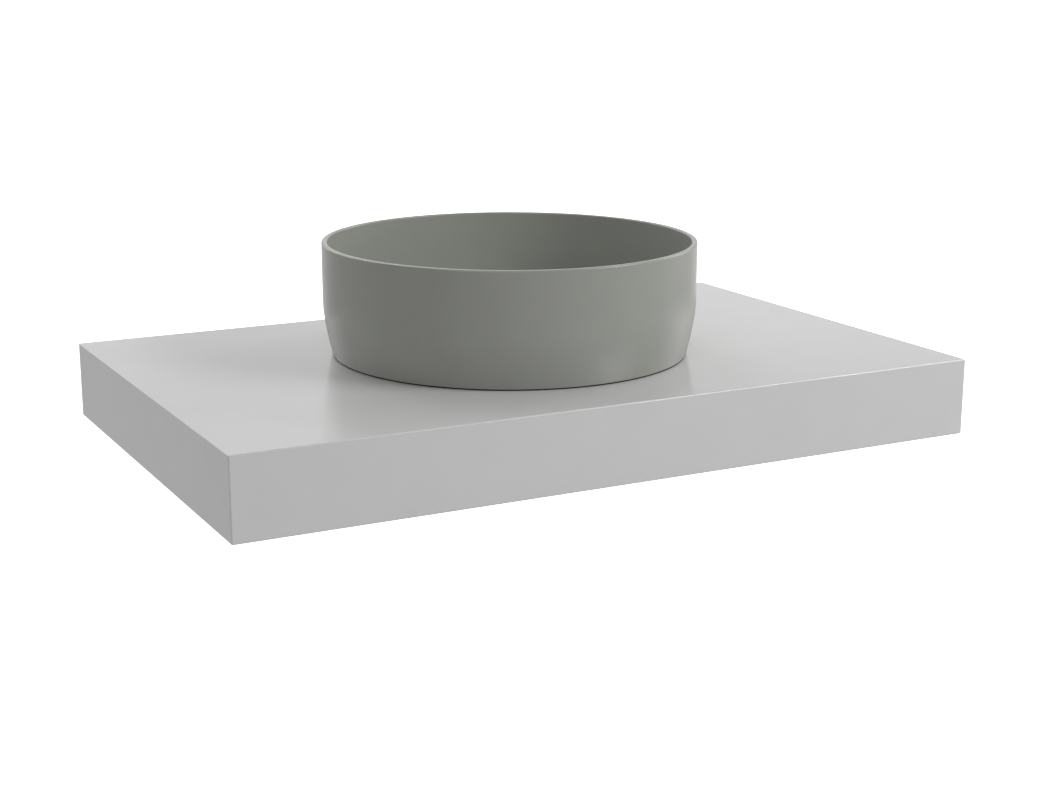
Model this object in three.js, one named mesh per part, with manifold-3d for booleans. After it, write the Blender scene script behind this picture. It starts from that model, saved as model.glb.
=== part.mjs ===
// Round countertop basin on a wall-hung console slab.
// Millimetres, +Z up, +Y towards the wall. The origin is the middle of the console's back face,
// which is the face that meets the wall.

import * as THREE from 'three';
import { mergeVertices } from 'three/addons/utils/BufferGeometryUtils.js';
import Module from 'manifold-3d';

const wasm = await Module();
wasm.setup();

// ---------------------------------------------------------------- driving dimensions

const CONSOLE = { width: 800, depth: 500, height: 80, board: 18 };
const COVER = { thickness: 8, recess: 2, gap: 0.5, cutoutHalf: 80, cutoutCorner: 20 };
const BRACKET = {
  spacing: 460, plateWidth: 90, plateBottom: -28, plateTop: 20, plateThickness: 6, boltSpacing: 60,
  boltRadius: 5.5, armWidth: 20, armHeight: 40, armWall: 2, armEnd: -420, slotWidth: 96,
};
const ARM_PAD = { front: -410, back: -40 };
const END_CAP = { flange: 3, spigot: 14 };
const RIB = { channel: 24, thickness: 18, back: -22 };
const CORNER_BLOCK = 40;
const BASIN = {
  axisY: -240, height: 119, radius: 196.5, wall: 6, rimRound: 1.5, taperHeight: 49, taperSlope: 0.125,
  taperCurve: 0.0014, footGap: 1.5, footRound: 2, floor: 18, floorAtDrain: 16, fillet: 28,
  recess: 8, footWidth: 15, footSlope: 4, bossRadius: 41, bossSlope: 2,
};
const FOOT_SEAL = { inset: 1, width: 10 };
const WASTE = {
  bore: 18.5, outside: 20.95, flangeRadius: 32, flangeThickness: 2.5, flangeEdge: 1, gasket: 1,
  seatRadius: 27, seatDepth: 6, seatFloor: 13, seatGap: 1.5, holeRadius: 22.5, tailBelow: 6,
  bossRadius: 7, barWidth: 3, barBottom: 26, barTop: 34,
};
const CLAMP = {
  clearance: 0.55, gasketRadius: 34, gasketHeight: 3, washerRadius: 33, washerHeight: 1.5,
  nutRadius: 31, nutHeight: 12, nutSides: 8,
};
const CAP = {
  radius: 31, rim: 2.5, edge: 1, crown: 4, shoulder: 3.6, travel: 9, closedGap: 0.5, hub: 8, lip: 10.5,
  sealRadius: 22.8, sealHeight: 3,
};
const PLUNGER = { radius: 2.3, clearance: 0.3, engaged: 6 };
const CARTRIDGE = { collarRadius: 6.5, collarHeight: 2, wall: 1.5, base: 3, spare: 2 };
const SPRING = { wire: 0.45, gap: 0.25, radius: 4.5, turns: 6, stepsPerTurn: 10 };
const COVER_SCREW = { head: 3.5, edge: 0.25, shank: 1.75, length: 22, sink: 2 };
const ARM_SCREW = { head: 4.5, headHeight: 2.5, headEdge: 1, access: 6, passage: 2.5, shank: 2, into: 12 };
const SCREW_POINT = 4;
const CLEAR = 0.3;
const SPARE = 0.5; // extra depth or radius of a drilled hole
const PAST = 1; // how far a cutting tool reaches past the face it cuts
const FINE = 72; // segments round a large turned piece
const ROUND = 32;
const MEDIUM = 24;
const SMALL = 10;

// ---------------------------------------------------------------- derived levels

const HALF_W = CONSOLE.width / 2;
const DECK = CONSOLE.height / 2;
const UNDERSIDE = -DECK;
const BOARD = CONSOLE.board;
const INNER_X = HALF_W - BOARD;
const INNER_FRONT = -CONSOLE.depth + BOARD;
const SOFFIT = DECK - BOARD;
const COVER_BOTTOM = UNDERSIDE + COVER.recess;
const COVER_TOP = COVER_BOTTOM + COVER.thickness;
const ARM_X = BRACKET.spacing / 2;
const ARM_SCREW_Y = [-120, -360];
const COVER_SCREW_Y = [-60, -440];
const RIB_OFFSET = (RIB.channel + RIB.thickness) / 2;
const SEAT = DECK + WASTE.seatFloor;
const FLANGE_BOTTOM = SEAT + WASTE.gasket;
const FLANGE_TOP = FLANGE_BOTTOM + WASTE.flangeThickness;
const CAP_BOTTOM = FLANGE_TOP + CAP.closedGap + CAP.travel;
const LIP_BOTTOM = CAP_BOTTOM - 2 * CAP.sealHeight;
const CARTRIDGE_TOP = WASTE.barTop + CARTRIDGE.collarHeight;
const CARTRIDGE_SHANK = PLUNGER.radius + PLUNGER.clearance + CARTRIDGE.wall;
const TAIL = UNDERSIDE - WASTE.tailBelow;

// ---------------------------------------------------------------- geometry helpers

// A closed mesh as a manifold-3d solid: shared vertices merged and collapsed triangles dropped.
function toSolid(geometry) {
  const bare = geometry.clone();
  bare.deleteAttribute('normal');
  bare.deleteAttribute('uv');
  const merged = mergeVertices(bare, 1e-4);
  const index = merged.index.array;
  const kept = [];
  for (let i = 0; i < index.length; i += 3) {
    const [a, b, c] = index.slice(i, i + 3);
    if (a !== b && b !== c && c !== a) kept.push(a, b, c);
  }
  const vertProperties = new Float32Array(merged.attributes.position.array);
  return new wasm.Manifold(new wasm.Mesh({ numProp: 3, vertProperties, triVerts: new Uint32Array(kept) }));
}

function toGeometry(solid) {
  const mesh = solid.getMesh();
  const geometry = new THREE.BufferGeometry();
  geometry.setAttribute('position', new THREE.BufferAttribute(mesh.vertProperties, 3));
  geometry.setIndex(new THREE.BufferAttribute(mesh.triVerts, 1));
  geometry.computeVertexNormals();
  return geometry;
}

function cut(geometry, ...tools) {
  return toGeometry(tools.reduce((solid, tool) => solid.subtract(toSolid(tool)), toSolid(geometry)));
}

function join(geometry, ...pieces) {
  return toGeometry(pieces.reduce((solid, piece) => solid.add(toSolid(piece)), toSolid(geometry)));
}

function box(x0, x1, y0, y1, z0, z1) {
  const geometry = new THREE.BoxGeometry(x1 - x0, y1 - y0, z1 - z0);
  return geometry.translate((x0 + x1) / 2, (y0 + y1) / 2, (z0 + z1) / 2);
}

// A board between two four-cornered faces, so its edges can be mitred.
// Both lists run anticlockwise as seen from outside the outer face.
function board(outer, inner) {
  const geometry = new THREE.BufferGeometry();
  geometry.setAttribute('position', new THREE.Float32BufferAttribute([...outer, ...inner].flat(), 3));
  const index = [0, 1, 2, 0, 2, 3, 4, 6, 5, 4, 7, 6];
  for (let i = 0; i < 4; i += 1) {
    const j = (i + 1) % 4;
    index.push(i, i + 4, j + 4, i, j + 4, j);
  }
  geometry.setIndex(index);
  geometry.computeVertexNormals();
  return geometry;
}

// A profile of [radius, height] points turned about the vertical line through (x, y).
function turned(profile, x, y, segments) {
  const points = profile.map(([radius, height]) => new THREE.Vector2(radius, height));
  return new THREE.LatheGeometry(points, segments).rotateX(Math.PI / 2).translate(x, y, 0);
}

function ring(inside, outside, bottom, top, segments = ROUND) {
  const profile = [[inside, bottom], [outside, bottom], [outside, top], [inside, top], [inside, bottom]];
  return turned(profile, 0, BASIN.axisY, segments);
}

function peg(radius, bottom, top, x, y, segments = SMALL) {
  return turned([[0, bottom], [radius, bottom], [radius, top], [0, top]], x, y, segments);
}

function arc(centreR, centreZ, radius, from, to, steps) {
  const points = [];
  for (let i = 0; i <= steps; i += 1) {
    const angle = THREE.MathUtils.degToRad(from + ((to - from) * i) / steps);
    points.push([centreR + radius * Math.cos(angle), centreZ + radius * Math.sin(angle)]);
  }
  return points;
}

const model = new THREE.Group();

function add(name, geometry, material) {
  const mesh = new THREE.Mesh(geometry, material);
  mesh.name = name;
  model.add(mesh);
}

// ---------------------------------------------------------------- materials

function finish(color, roughness, metalness = 0) {
  return new THREE.MeshStandardMaterial({ color, roughness, metalness });
}

const lacquer = finish(0xcfcfcf, 0.42);
const rawBoard = finish(0xb08d62, 0.8);
const glaze = finish(0x7f8078, 0.55);
const blackSteel = finish(0x2b2c2e, 0.5, 0.6);
const zinc = finish(0xb9bcc0, 0.35, 1);
const chrome = finish(0xd9dcdf, 0.12, 1);
const brass = finish(0xb9924c, 0.35, 1);
const springSteel = finish(0xaeb1b5, 0.3, 1);
const rubber = finish(0x1d1d1e, 0.85);
const foam = finish(0x3a3b3d, 0.95);
const plastic = finish(0x232426, 0.6);

// ---------------------------------------------------------------- console carcass

// The four corners of a face across X, Y or Z, anticlockwise from outside.
const across = {
  z: (x, y0, y1, z) => [[-x, y0, z], [x, y0, z], [x, y1, z], [-x, y1, z]],
  front: (x, y, z0, z1) => [[-x, y, z0], [x, y, z0], [x, y, z1], [-x, y, z1]],
  right: (x, y0, y1, z0, z1) => [[x, y0, z0], [x, y1, z0], [x, y1, z1], [x, y0, z1]],
  left: (x, y0, y1, z0, z1) => [[-x, y1, z0], [-x, y0, z0], [-x, y0, z1], [-x, y1, z1]],
};

function topPanel() {
  const blank = board(
    across.z(HALF_W, -CONSOLE.depth, 0, DECK),
    across.z(INNER_X, INNER_FRONT, 0, SOFFIT),
  );
  const drain = peg(WASTE.holeRadius + SPARE, SOFFIT - PAST, DECK + PAST, 0, BASIN.axisY, ROUND);
  const pilots = [];
  for (const x of [-ARM_X, ARM_X]) {
    for (const y of ARM_SCREW_Y) {
      pilots.push(peg(ARM_SCREW.shank + CLEAR, SOFFIT - PAST, SOFFIT + ARM_SCREW.into + SPARE, x, y));
    }
  }
  return cut(blank, drain, ...pilots);
}

function addShell() {
  add('top_panel', topPanel(), lacquer);
  add('front_fascia', board(
    across.front(HALF_W, -CONSOLE.depth, UNDERSIDE, DECK),
    across.front(INNER_X, INNER_FRONT, UNDERSIDE, SOFFIT),
  ), lacquer);
  for (const side of ['left', 'right']) {
    add(`${side}_end_panel`, board(
      across[side](HALF_W, -CONSOLE.depth, 0, UNDERSIDE, DECK),
      across[side](INNER_X, INNER_FRONT, 0, UNDERSIDE, SOFFIT),
    ), lacquer);
  }
}

// The rear rail is in three lengths, with a slot for each bracket plate between them.
function addRearRails() {
  const slotIn = ARM_X - BRACKET.slotWidth / 2;
  const slotOut = ARM_X + BRACKET.slotWidth / 2;
  const spans = { left: [-INNER_X, -slotOut], centre: [-slotIn, slotIn], right: [slotOut, INNER_X] };
  for (const [name, [x0, x1]] of Object.entries(spans)) {
    add(`rear_rail_${name}`, box(x0, x1, -BOARD, 0, UNDERSIDE, SOFFIT), rawBoard);
  }
}

const ribs = [
  ['left_outer_rib', -ARM_X - RIB_OFFSET],
  ['left_inner_rib', -ARM_X + RIB_OFFSET],
  ['right_inner_rib', ARM_X - RIB_OFFSET],
  ['right_outer_rib', ARM_X + RIB_OFFSET],
];

// Ribs run from the fascia to the bracket plates, one on each side of each arm.
function addRibs() {
  const pilotTop = COVER_BOTTOM + COVER_SCREW.length + SPARE;
  for (const [name, x] of ribs) {
    const blank = box(x - RIB.thickness / 2, x + RIB.thickness / 2, INNER_FRONT, RIB.back, COVER_TOP, SOFFIT);
    const pilots = COVER_SCREW_Y.map((y) => peg(COVER_SCREW.shank + CLEAR, COVER_TOP - PAST, pilotTop, x, y));
    add(name, cut(blank, ...pilots), rawBoard);
  }
}

// Glue blocks fill the two front corners.
function addCornerBlocks() {
  for (const [name, side] of [['corner_block_left', -1], ['corner_block_right', 1]]) {
    const outline = new THREE.Shape();
    outline.moveTo(side * INNER_X, INNER_FRONT);
    outline.lineTo(side * (INNER_X - CORNER_BLOCK), INNER_FRONT);
    outline.lineTo(side * INNER_X, INNER_FRONT + CORNER_BLOCK);
    outline.closePath();
    const settings = { depth: SOFFIT - COVER_TOP, bevelEnabled: false };
    add(name, new THREE.ExtrudeGeometry(outline, settings).translate(0, 0, COVER_TOP), rawBoard);
  }
}

function serviceCutout() {
  const half = COVER.cutoutHalf;
  const r = COVER.cutoutCorner;
  const shape = new THREE.Shape();
  shape.moveTo(half, r - half);
  shape.absarc(half - r, half - r, r, 0, Math.PI / 2, false);
  shape.absarc(r - half, half - r, r, Math.PI / 2, Math.PI, false);
  shape.absarc(r - half, r - half, r, Math.PI, 1.5 * Math.PI, false);
  shape.absarc(half - r, r - half, r, 1.5 * Math.PI, 2 * Math.PI, false);
  const settings = { depth: COVER.thickness + 2 * PAST, bevelEnabled: false, curveSegments: 6 };
  return new THREE.ExtrudeGeometry(shape, settings).translate(0, BASIN.axisY, COVER_BOTTOM - PAST);
}

// A countersunk screw, head down, with its flat face at the given height. The hole is the same
// shape grown by a clearance, and it starts a little below the face.
function coverScrewShape(x, y, grow, below) {
  const head = COVER_SCREW.head + grow;
  const shank = COVER_SCREW.shank + grow;
  const tip = COVER_BOTTOM + COVER_SCREW.length;
  const profile = [[0, COVER_BOTTOM - below], [head, COVER_BOTTOM - below], [head, COVER_BOTTOM]];
  profile.push([shank, COVER_BOTTOM + COVER_SCREW.sink + grow], [shank, tip - SCREW_POINT], [0, tip]);
  return turned(profile, x, y, SMALL);
}

function addCover() {
  const x = INNER_X - COVER.gap;
  const blank = box(-x, x, INNER_FRONT + COVER.gap, -BOARD - COVER.gap, COVER_BOTTOM, COVER_TOP);
  const places = ribs.flatMap(([, ribX]) => COVER_SCREW_Y.map((y) => [ribX, y]));
  const holes = places.map(([px, py]) => coverScrewShape(px, py, CLEAR, PAST));
  add('bottom_panel', cut(blank, serviceCutout(), ...holes), lacquer);
  places.forEach(([px, py], i) => {
    add(`cover_screw_${i + 1}`, coverScrewShape(px, py, 0, COVER_SCREW.edge), zinc);
  });
}

// ---------------------------------------------------------------- concealed wall brackets

// A bolt plate with a rectangular arm. Each arm screw has a large access hole in the arm's lower
// wall and a clearance hole in its upper wall.
function wallBracket(x) {
  const halfPlate = BRACKET.plateWidth / 2;
  const halfArm = BRACKET.armWidth / 2;
  const halfHeight = BRACKET.armHeight / 2;
  const back = -BRACKET.plateThickness;
  const wall = BRACKET.armWall;
  const plate = box(x - halfPlate, x + halfPlate, back, 0, BRACKET.plateBottom, BRACKET.plateTop);
  const arm = box(x - halfArm, x + halfArm, BRACKET.armEnd, back, -halfHeight, halfHeight);
  const hollow = box(
    x - halfArm + wall, x + halfArm - wall, BRACKET.armEnd - PAST, back, wall - halfHeight, halfHeight - wall,
  );
  const tools = [hollow];
  for (const side of [-1, 1]) {
    const bolt = new THREE.CylinderGeometry(BRACKET.boltRadius, BRACKET.boltRadius, 3 * -back, 16);
    tools.push(bolt.translate(x + (side * BRACKET.boltSpacing) / 2, 0, 0));
  }
  for (const y of ARM_SCREW_Y) {
    tools.push(peg(ARM_SCREW.access, -halfHeight - PAST, 0, x, y));
    tools.push(peg(ARM_SCREW.passage, 0, halfHeight + PAST, x, y));
  }
  return cut(join(plate, arm), ...tools);
}

function armPad(x) {
  const half = BRACKET.armWidth / 2;
  const bottom = BRACKET.armHeight / 2;
  const radius = ARM_SCREW.passage + SPARE;
  const holes = ARM_SCREW_Y.map((y) => peg(radius, bottom - PAST, SOFFIT + PAST, x, y));
  return cut(box(x - half, x + half, ARM_PAD.front, ARM_PAD.back, bottom, SOFFIT), ...holes);
}

// A push-in plug: a flange over the arm's end and a spigot inside it.
function armEndCap(x) {
  const halfArm = BRACKET.armWidth / 2;
  const halfHeight = BRACKET.armHeight / 2;
  const inset = BRACKET.armWall + CLEAR;
  const end = BRACKET.armEnd;
  const front = end - END_CAP.flange;
  const flange = box(x - halfArm, x + halfArm, front, end, -halfHeight, halfHeight);
  const spigot = box(
    x - halfArm + inset, x + halfArm - inset, end - PAST, end + END_CAP.spigot,
    inset - halfHeight, halfHeight - inset,
  );
  return join(flange, spigot);
}

function armScrew(x, y) {
  const { head, headEdge, shank } = ARM_SCREW;
  const seat = BRACKET.armHeight / 2 - BRACKET.armWall;
  const bottom = seat - ARM_SCREW.headHeight;
  const tip = SOFFIT + ARM_SCREW.into;
  const profile = [
    [0, bottom], [head - headEdge, bottom], [head, bottom + headEdge], [head, seat],
    [shank, seat], [shank, tip - SCREW_POINT], [0, tip],
  ];
  return turned(profile, x, y, SMALL);
}

function addBrackets() {
  for (const [side, x] of [['left', -ARM_X], ['right', ARM_X]]) {
    add(`wall_bracket_${side}`, wallBracket(x), blackSteel);
    add(`arm_pad_${side}`, armPad(x), rubber);
    add(`arm_end_cap_${side}`, armEndCap(x), plastic);
    ARM_SCREW_Y.forEach((y, i) => add(`arm_screw_${side}_${i + 1}`, armScrew(x, y), zinc));
  }
}

// ---------------------------------------------------------------- basin

function outerRadius(height) {
  const below = Math.max(0, BASIN.taperHeight - height);
  return BASIN.radius - BASIN.taperSlope * below - BASIN.taperCurve * below * below;
}

// Outer wall from the foot's rounded edge up to the rim, in [radius, height above the deck].
function outerWall() {
  const roundTop = BASIN.footGap + BASIN.footRound;
  const edge = outerRadius(roundTop);
  const points = arc(edge - BASIN.footRound, roundTop, BASIN.footRound, -90, -22.5, 2);
  const steps = 7;
  for (let i = 0; i <= steps; i += 1) {
    const height = roundTop + ((BASIN.taperHeight - roundTop) * i) / steps;
    points.push([outerRadius(height), height]);
  }
  return points;
}

function basinProfile() {
  const { height, radius, wall, rimRound, fillet, footGap, recess } = BASIN;
  const inside = radius - wall;
  const footInner = outerRadius(footGap) - BASIN.footWidth;
  const seatRadius = WASTE.flangeRadius + WASTE.seatGap;
  const section = [
    [WASTE.holeRadius, footGap], [BASIN.bossRadius, footGap],
    [BASIN.bossRadius + BASIN.bossSlope, recess], [footInner - BASIN.footSlope, recess], [footInner, footGap],
    ...outerWall(),
    ...arc(radius - rimRound, height - rimRound, rimRound, 0, 90, 3),
    ...arc(inside + rimRound, height - rimRound, rimRound, 90, 180, 3),
    ...arc(inside - fillet, BASIN.floor + fillet, fillet, 0, -90, 6),
    [seatRadius, BASIN.floorAtDrain], [seatRadius, WASTE.seatFloor], [WASTE.holeRadius, WASTE.seatFloor],
    [WASTE.holeRadius, footGap],
  ];
  return section.map(([r, z]) => [r, z + DECK]);
}

function addBasin() {
  const sealInner = outerRadius(BASIN.footGap) - BASIN.footWidth + FOOT_SEAL.inset;
  const foot = DECK + BASIN.footGap;
  add('basin', turned(basinProfile(), 0, BASIN.axisY, FINE), glaze);
  add('foot_seal', ring(sealInner, sealInner + FOOT_SEAL.width, DECK, foot, FINE), rubber);
  add('boss_gasket', ring(WASTE.holeRadius + 2, BASIN.bossRadius - 1, DECK, foot), foam);
}

// ---------------------------------------------------------------- waste and its clamp

// Flange, conical seat and tube in one casting, with a cross-bar whose boss holds the cartridge.
function wasteBody() {
  const seatBottom = FLANGE_TOP - WASTE.seatDepth;
  const profile = [
    [WASTE.bore, TAIL], [WASTE.outside, TAIL], [WASTE.outside, FLANGE_BOTTOM],
    [WASTE.flangeRadius, FLANGE_BOTTOM], [WASTE.flangeRadius, FLANGE_TOP - WASTE.flangeEdge],
    [WASTE.flangeRadius - WASTE.flangeEdge, FLANGE_TOP], [WASTE.seatRadius, FLANGE_TOP],
    [WASTE.bore, seatBottom], [WASTE.bore, TAIL],
  ];
  const reach = WASTE.bore + PAST;
  const y = BASIN.axisY;
  const half = WASTE.barWidth / 2;
  const bar = box(-reach, reach, y - half, y + half, WASTE.barBottom, WASTE.barTop);
  const boss = peg(WASTE.bossRadius, WASTE.barBottom, WASTE.barTop, 0, y, MEDIUM);
  const hole = peg(CARTRIDGE_SHANK + CLEAR, WASTE.barBottom - PAST, WASTE.barTop + PAST, 0, y, MEDIUM);
  return cut(join(turned(profile, 0, y, ROUND), bar, boss), hole);
}

function backNut(bottom, top) {
  const blank = peg(CLAMP.nutRadius, bottom, top, 0, BASIN.axisY, CLAMP.nutSides);
  return cut(blank, peg(WASTE.outside + CLEAR, bottom - PAST, top + PAST, 0, BASIN.axisY, ROUND));
}

function addWaste() {
  const inside = WASTE.outside + CLAMP.clearance;
  const gasketBottom = SOFFIT - CLAMP.gasketHeight;
  const washerBottom = gasketBottom - CLAMP.washerHeight;
  add('waste_body', wasteBody(), chrome);
  add('flange_gasket', ring(WASTE.holeRadius + SPARE, WASTE.flangeRadius - 1, SEAT, FLANGE_BOTTOM), rubber);
  add('lower_gasket', ring(inside, CLAMP.gasketRadius, gasketBottom, SOFFIT), rubber);
  add('friction_washer', ring(inside, CLAMP.washerRadius, washerBottom, gasketBottom), plastic);
  add('back_nut', backNut(washerBottom - CLAMP.nutHeight, washerBottom), brass);
}

// ---------------------------------------------------------------- push-to-close cap

function cartridge() {
  const bore = PLUNGER.radius + PLUNGER.clearance;
  const collar = CARTRIDGE.collarRadius;
  const boreEnd = CARTRIDGE_TOP - PLUNGER.engaged - CAP.travel - CARTRIDGE.spare;
  const end = boreEnd - CARTRIDGE.base;
  const profile = [
    [0, end], [CARTRIDGE_SHANK, end], [CARTRIDGE_SHANK, WASTE.barTop], [collar, WASTE.barTop],
    [collar, CARTRIDGE_TOP], [bore, CARTRIDGE_TOP], [bore, boreEnd], [0, boreEnd],
  ];
  return turned(profile, 0, BASIN.axisY, MEDIUM);
}

function capSpring() {
  const { wire, gap, radius, turns, stepsPerTurn } = SPRING;
  const bottom = CARTRIDGE_TOP + wire + gap;
  const rise = LIP_BOTTOM - wire - gap - bottom;
  const steps = turns * stepsPerTurn;
  const points = [];
  for (let i = 0; i <= steps; i += 1) {
    const angle = (2 * Math.PI * i) / stepsPerTurn;
    const x = radius * Math.cos(angle);
    const y = BASIN.axisY + radius * Math.sin(angle);
    points.push(new THREE.Vector3(x, y, bottom + (rise * i) / steps));
  }
  const section = new THREE.Shape();
  section.absarc(0, 0, wire, 0, 2 * Math.PI, false);
  const extrudePath = new THREE.CatmullRomCurve3(points);
  return new THREE.ExtrudeGeometry(section, { steps, extrudePath, curveSegments: 3, bevelEnabled: false });
}

// Domed disc with a hub; the lip under the hub keeps the seal in place.
function drainCap() {
  const lipTop = CAP_BOTTOM - CAP.sealHeight;
  const rimTop = CAP_BOTTOM + CAP.rim;
  const profile = [
    [0, LIP_BOTTOM], [CAP.lip, LIP_BOTTOM], [CAP.lip, lipTop], [CAP.hub, lipTop], [CAP.hub, CAP_BOTTOM],
    [CAP.radius, CAP_BOTTOM], [CAP.radius, rimTop - CAP.edge], [CAP.radius - CAP.edge, rimTop],
    [CAP.radius / 2, CAP_BOTTOM + CAP.shoulder], [0, CAP_BOTTOM + CAP.crown],
  ];
  return turned(profile, 0, BASIN.axisY, ROUND);
}

function addCap() {
  const plungerEnd = CARTRIDGE_TOP - PLUNGER.engaged;
  add('cap_cartridge', cartridge(), plastic);
  add('cap_spring', capSpring(), springSteel);
  add('drain_cap', drainCap(), chrome);
  add('cap_seal', ring(CAP.hub + CLEAR, CAP.sealRadius, CAP_BOTTOM - CAP.sealHeight, CAP_BOTTOM), rubber);
  add('plunger', peg(PLUNGER.radius, plungerEnd, LIP_BOTTOM, 0, BASIN.axisY, 20), zinc);
}

// ---------------------------------------------------------------- assembly

addShell();
addRearRails();
addRibs();
addCornerBlocks();
addCover();
addBrackets();
addBasin();
addWaste();
addCap();

export default model;
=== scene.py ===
"""Round countertop basin on a wall-hung console slab: the looks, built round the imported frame.

Metres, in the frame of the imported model: +X right, +Y towards the wall, +Z up, and the origin in
the middle of the console's back face. Lengths written in millimetres are multiplied by MM. Bores,
holes and the bodies of round pieces are given by their radii.
"""

import math

import bmesh
import bpy
from mathutils import Matrix, Vector


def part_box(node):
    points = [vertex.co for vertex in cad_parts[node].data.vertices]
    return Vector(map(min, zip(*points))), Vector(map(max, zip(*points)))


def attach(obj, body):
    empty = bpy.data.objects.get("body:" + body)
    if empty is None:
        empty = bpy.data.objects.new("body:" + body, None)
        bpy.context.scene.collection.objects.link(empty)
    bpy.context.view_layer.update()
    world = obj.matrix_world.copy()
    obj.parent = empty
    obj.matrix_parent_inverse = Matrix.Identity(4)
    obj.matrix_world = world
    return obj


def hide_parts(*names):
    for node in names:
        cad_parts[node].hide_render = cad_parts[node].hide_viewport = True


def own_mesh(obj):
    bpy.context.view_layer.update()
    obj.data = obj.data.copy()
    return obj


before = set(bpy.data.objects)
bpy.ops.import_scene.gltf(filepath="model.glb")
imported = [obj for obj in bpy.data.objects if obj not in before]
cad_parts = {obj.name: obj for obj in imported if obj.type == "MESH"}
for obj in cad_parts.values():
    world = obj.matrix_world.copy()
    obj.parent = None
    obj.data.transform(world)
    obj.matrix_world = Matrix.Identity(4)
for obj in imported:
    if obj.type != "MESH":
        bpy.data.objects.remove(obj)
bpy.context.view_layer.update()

MM = 0.001
CONSOLE = "console"
PLUG = "drain_plug"

# ------------------------------------------------------------------ places read from the frame

SHELL_LOW = Vector((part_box("left_end_panel")[0].x, *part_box("front_fascia")[0].yz))
SHELL_HIGH = Vector((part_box("right_end_panel")[1].x, *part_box("top_panel")[1].yz))
DECK = SHELL_HIGH.z
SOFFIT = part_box("rear_rail_centre")[1].z
INNER_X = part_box("rear_rail_right")[1].x
INNER_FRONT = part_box("left_inner_rib")[0].y
BASIN_LOW, BASIN_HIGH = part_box("basin")
AXIS = (BASIN_LOW + BASIN_HIGH) / 2
BASIN_RADIUS = (BASIN_HIGH.x - BASIN_LOW.x) / 2
SIDES = ("left", "right")
PAST = 1 * MM  # how far a cutting tool reaches past what it cuts
NEAR = 0.001 * MM  # lengths closer than this are the same


# ------------------------------------------------------------------ mesh helpers


def new_piece(name, mesh, material, body, replaces=()):
    piece = bpy.data.objects.new(name, mesh)
    bpy.context.scene.collection.objects.link(piece)
    finish_piece(piece, material, body, replaces)
    return piece


def finish_piece(piece, material, body, replaces=()):
    if not piece.data.materials:
        piece.data.materials.append(material)
    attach(piece, body)
    if replaces:
        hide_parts(*replaces)


def mesh_of(name, bm, sharp_angle=35):
    """A smooth-shaded mesh with its corners above sharp_angle kept sharp."""
    bmesh.ops.recalc_face_normals(bm, faces=bm.faces[:])
    mesh = bpy.data.meshes.new(name)
    bm.to_mesh(mesh)
    bm.free()
    mesh.shade_smooth()
    mesh.set_sharp_from_angle(angle=math.radians(sharp_angle))
    return mesh


def weight_normals(piece):
    """Keeps large faces flat next to small rounded edges."""
    weighted = piece.modifiers.new("weighted_normals", "WEIGHTED_NORMAL")
    weighted.mode = "FACE_AREA"
    weighted.weight = 100
    weighted.keep_sharp = True


def filleted(corners, steps=5, support=0.4 * MM):
    """A closed outline from (radius, height, fillet) corners. Each fillet is an arc-like curve, and a
    support point close to it keeps the straight stretches flat."""
    points = []
    count = len(corners)
    for i, (r, z, fillet) in enumerate(corners):
        here = Vector((r, z))
        if fillet <= 0:
            points.append((r, z))
            continue
        back = Vector(corners[i - 1][:2]) - here
        ahead = Vector(corners[(i + 1) % count][:2]) - here
        turn = back.angle(ahead)
        reach = min(fillet / math.tan(turn / 2), back.length * 0.45, ahead.length * 0.45)
        start, end = here + back.normalized() * reach, here + ahead.normalized() * reach
        points.append(tuple(start + back.normalized() * min(support, reach * 0.5)))
        for k in range(steps + 1):
            t = k / steps
            on_curve = start * (1 - t) ** 2 + here * 2 * t * (1 - t) + end * t**2
            points.append(tuple(on_curve))
        points.append(tuple(end + ahead.normalized() * min(support, reach * 0.5)))
    return points


def revolve(name, outline, segments=96, centre=None, radius_at=None, sharp_angle=35):
    """Turns a closed outline of (radius, height) points about the vertical line through centre.
    radius_at(radius, height, angle) may reshape it, as for a nut or a thread."""
    centre = AXIS if centre is None else centre
    bm = bmesh.new()
    rings = []
    for r, z in outline:
        if r < NEAR:
            rings.append([bm.verts.new((centre.x, centre.y, z))] * segments)
            continue
        ring = []
        for k in range(segments):
            angle = 2 * math.pi * k / segments
            radius = radius_at(r, z, angle) if radius_at else r
            ring.append(bm.verts.new((
                centre.x + radius * math.cos(angle), centre.y + radius * math.sin(angle), z,
            )))
        rings.append(ring)
    for i, lower in enumerate(rings):
        upper = rings[(i + 1) % len(rings)]
        if lower[0] is lower[1] and upper[0] is upper[1]:
            continue
        for k in range(segments):
            corners = [lower[k], lower[(k + 1) % segments], upper[(k + 1) % segments], upper[k]]
            bm.faces.new(list(dict.fromkeys(corners)))
    return mesh_of(name, bm, sharp_angle)


def block(low, high, edge, steps):
    """A box whose edges are rounded to the radius edge."""
    bm = bmesh.new()
    bmesh.ops.create_cube(bm, size=1)
    bmesh.ops.scale(bm, vec=high - low, verts=bm.verts)
    bmesh.ops.translate(bm, vec=(high + low) / 2, verts=bm.verts)
    bmesh.ops.bevel(bm, geom=bm.edges[:], offset=edge, segments=steps, profile=0.5, affect="EDGES")
    return bm


def skin(bm, rings):
    """Faces between each ring of vertices and the next."""
    for lower, upper in zip(rings, rings[1:]):
        count = len(lower)
        for i in range(count):
            bm.faces.new((lower[i], lower[(i + 1) % count], upper[(i + 1) % count], upper[i]))


def prism(name, outline, z0, z1):
    """An upright prism over an outline of (x, y) points."""
    bm = bmesh.new()
    lower = [bm.verts.new((x, y, z0)) for x, y in outline]
    upper = [bm.verts.new((x, y, z1)) for x, y in outline]
    bm.faces.new(lower)
    bm.faces.new(upper)
    skin(bm, [lower, upper])
    return mesh_of(name, bm)


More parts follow.
